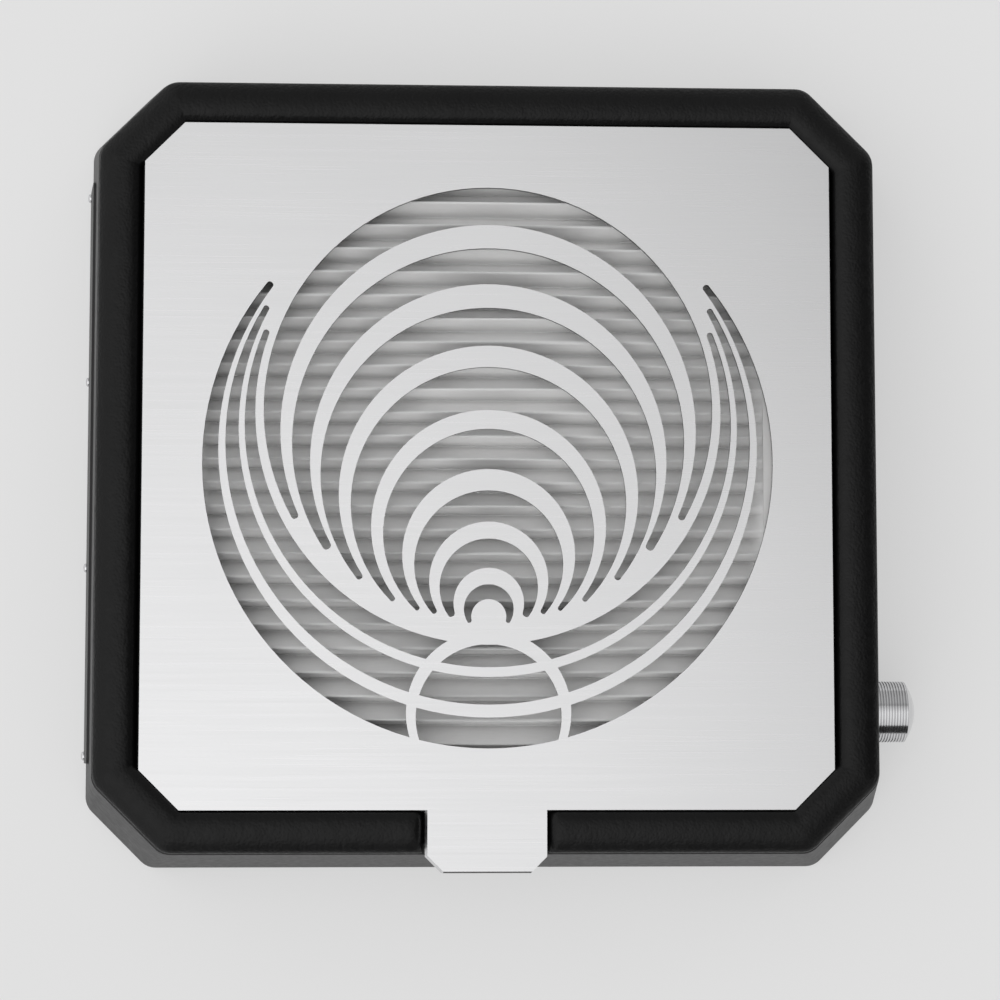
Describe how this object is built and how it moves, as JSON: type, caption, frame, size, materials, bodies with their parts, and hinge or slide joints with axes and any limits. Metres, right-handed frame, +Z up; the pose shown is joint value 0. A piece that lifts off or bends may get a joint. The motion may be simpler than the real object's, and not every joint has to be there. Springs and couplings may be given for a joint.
{
  "type": "desktop downdraft dust and fume extractor",
  "caption": "Low octagonal desktop downdraft extractor with a padded rim, a lift-out patterned grille plate over a pleated filter, a fan below and a side speed knob.",
  "frame": {"origin": "middle of the whole footprint, at table level under the feet", "axes": "+Z up; +X towards the speed knob; -Y towards the user and the grille's tab"},
  "size_m": [0.3298, 0.3132, 0.066],
  "materials": {
    "black_plastic": "moulded, fine spark texture",
    "board_laminate": "green solder mask",
    "bright_steel": "ground steel",
    "copper_winding": "enamelled copper",
    "core_steel": "stacked electrical steel",
    "cover_paint": "black powder coat",
    "deck_paint": "dark grey powder coat",
    "foot_rubber": "matt black rubber",
    "frame_board": "off-white moulded cartridge frame",
    "grille_steel": "brushed stainless, fine horizontal grain",
    "guard_wire": "plated wire",
    "lead_sheath": "grey insulation",
    "leatherette_pad": "black leatherette over foam, fine grain",
    "leatherette_wall": "black leatherette over the moulded walls",
    "magnet": "nickel-plated",
    "part_plastic": "blue moulded case",
    "pleated_paper": "off-white pleated filter media",
    "rim_board": "black-stained fibreboard",
    "seal_foam": "black foam seal",
    "turned_aluminium": "turned, fine grooves round the barrel",
    "zinc_screw": "zinc-plated"
  },
  "bodies": {
    "housing": {"housing_shell": "leatherette_wall", "bottom_cover": "cover_paint", "foot_front_left": "foot_rubber", "foot_back_left": "foot_rubber", "foot_front_right": "foot_rubber", "foot_back_right": "foot_rubber", "foot_screws": "zinc_screw", "cover_screws": "zinc_screw", "deck": "deck_paint", "deck_screws": "zinc_screw", "inlet_ring": "black_plastic", "inlet_guard": "guard_wire", "guard_screws": "zinc_screw", "rim_frame": "rim_board", "plate_magnets": "magnet", "rim_frame_screws": "zinc_screw", "rim_pad": "leatherette_pad", "motor_bracket": "zinc_screw", "motor_screws": "zinc_screw", "motor_bearings": "bright_steel", "stator_core": "core_steel", "stator_windings": "copper_winding", "speed_potentiometer": "black_plastic", "potentiometer_nut": "bright_steel", "control_board": "board_laminate", "board_standoffs": "bright_steel", "triac_heatsink": "turned_aluminium", "triac": "black_plastic", "suppression_capacitor": "part_plastic", "terminal_block": "part_plastic", "service_panel": "cover_paint", "exhaust_plate": "cover_paint", "panel_screws": "bright_steel", "cord_gland": "black_plastic", "gland_nut": "black_plastic", "motor_lead": "lead_sheath"},
    "grille": {"grille_plate": "grille_steel"},
    "filter": {"filter_frame": "frame_board", "filter_gasket": "seal_foam", "filter_media": "pleated_paper"},
    "fan_rotor": {"impeller": "black_plastic", "rotor_cup": "cover_paint", "rotor_magnet": "core_steel", "motor_shaft": "bright_steel"},
    "speed_control": {"speed_knob": "turned_aluminium", "knob_set_screw": "zinc_screw", "potentiometer_shaft": "bright_steel"}
  },
  "joints": [
    {"name": "grille_lift", "type": "slide", "parent": "housing", "child": "grille", "axis": [0, 0, 1], "range_m": [0, 0.12]},
    {"name": "filter_lift", "type": "slide", "parent": "housing", "child": "filter", "axis": [0, 0, 1], "range_m": [0, 0.06]},
    {"name": "fan_spin", "type": "hinge", "parent": "housing", "child": "fan_rotor", "pos_m": [-0.00564, -0.00071, 0.02], "axis": [0, 0, 1], "continuous": true},
    {"name": "knob_turn", "type": "hinge", "parent": "housing", "child": "speed_control", "pos_m": [0.14936, -0.09501, 0.025], "axis": [-1, 0, 0], "range_deg": [0, 300]}
  ],
  "couplings": [
    {"joint": "filter_lift", "follows": "grille_lift", "ratio": 0.5}
  ]
}
